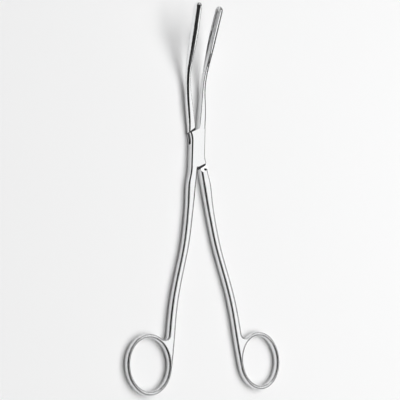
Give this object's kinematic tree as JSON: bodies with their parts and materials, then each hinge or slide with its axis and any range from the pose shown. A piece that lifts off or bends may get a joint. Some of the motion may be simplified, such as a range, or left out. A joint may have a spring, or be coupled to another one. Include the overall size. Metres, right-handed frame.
{
  "type": "polyp forceps",
  "caption": "Polyp forceps with ring handles, long shanks, a slotted box lock and long hollow jaws angled forward, for reaching into a narrow passage and grasping soft tissue.",
  "frame": {"origin": "on the pivot axis, at the flat back of the box lock that the forceps lies on", "axes": "+Y from the finger rings to the jaw tips, +Z out of the front of the lock, the way the jaws are angled, +X to the side of the box half's jaw"},
  "size_m": [0.107, 0.2417, 0.0288],
  "materials": {
    "polished_steel": "mirror polished stainless steel"
  },
  "bodies": {
    "box_side": {"box_half": "polished_steel", "pivot_pin": "polished_steel"},
    "tongue_side": {"tongue_half": "polished_steel"}
  },
  "joints": [
    {"name": "box_lock", "type": "hinge", "parent": "box_side", "child": "tongue_side", "pos_m": [0, 0, 0.003], "axis": [0, 0, 1], "range_deg": [-8.8, 15.2]}
  ]
}
